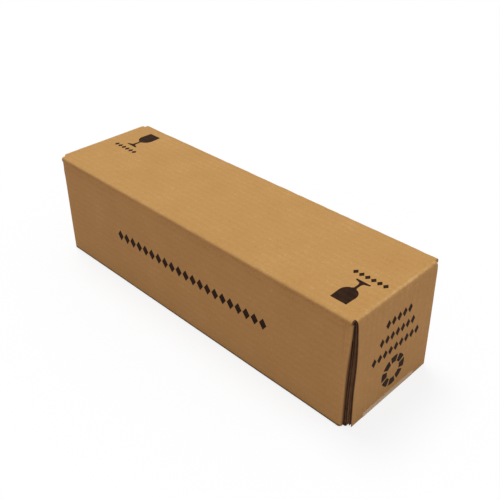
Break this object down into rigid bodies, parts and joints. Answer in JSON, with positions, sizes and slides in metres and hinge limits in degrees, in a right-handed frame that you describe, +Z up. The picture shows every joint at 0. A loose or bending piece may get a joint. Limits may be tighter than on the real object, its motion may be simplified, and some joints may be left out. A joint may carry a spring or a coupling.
{
  "type": "bottle shipping box",
  "caption": "Long square-ended carton of plain brown corrugated board for posting a bottle, folded from one sheet, with full-overlap end flaps taped shut.",
  "frame": {"origin": "centre of the underside, on the surface that the box lies on", "axes": "+X along the length, towards the end that faces the viewer in the picture; the long side in view faces -Y; +Z up"},
  "size_m": [0.37, 0.109, 0.106],
  "materials": {
    "board": "uncoated brown kraft liner, matt, with fine fibres and flecks",
    "tape": "clear glossy packing film",
    "ink": "thin matt dark brown printing ink, for plain printed shapes"
  },
  "bodies": {
    "root": {"carton": "board", "near_end_tape": "tape", "far_end_tape": "tape"}
  },
  "joints": []
}
